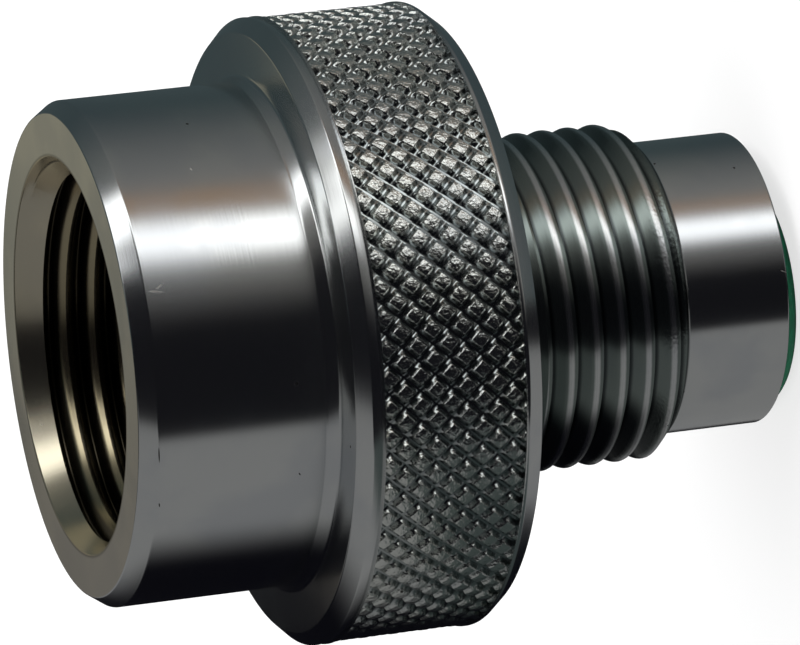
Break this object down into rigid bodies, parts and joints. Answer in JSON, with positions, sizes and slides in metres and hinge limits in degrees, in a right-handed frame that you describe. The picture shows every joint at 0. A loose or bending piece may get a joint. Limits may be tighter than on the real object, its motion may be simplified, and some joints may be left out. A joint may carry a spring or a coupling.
{
  "type": "threaded adapter",
  "caption": "Turned and plated gas fitting: internal M26x2 socket, knurled grip collar, external G5/8 thread and a plain nose with a face seal.",
  "frame": {"origin": "on the axis, at the level of the sealing ring's underside, where the part stands", "axes": "+Z along the axis from the nose towards the socket's mouth; the fitting is turned about Z"},
  "size_m": [0.0423, 0.0422, 0.0489],
  "materials": {
    "plated_brass": "fine turned and bright plated",
    "seal_rubber": "smooth moulded, satin"
  },
  "bodies": {
    "root": {"adapter_body": "plated_brass", "sealing_ring": "seal_rubber"}
  },
  "joints": []
}
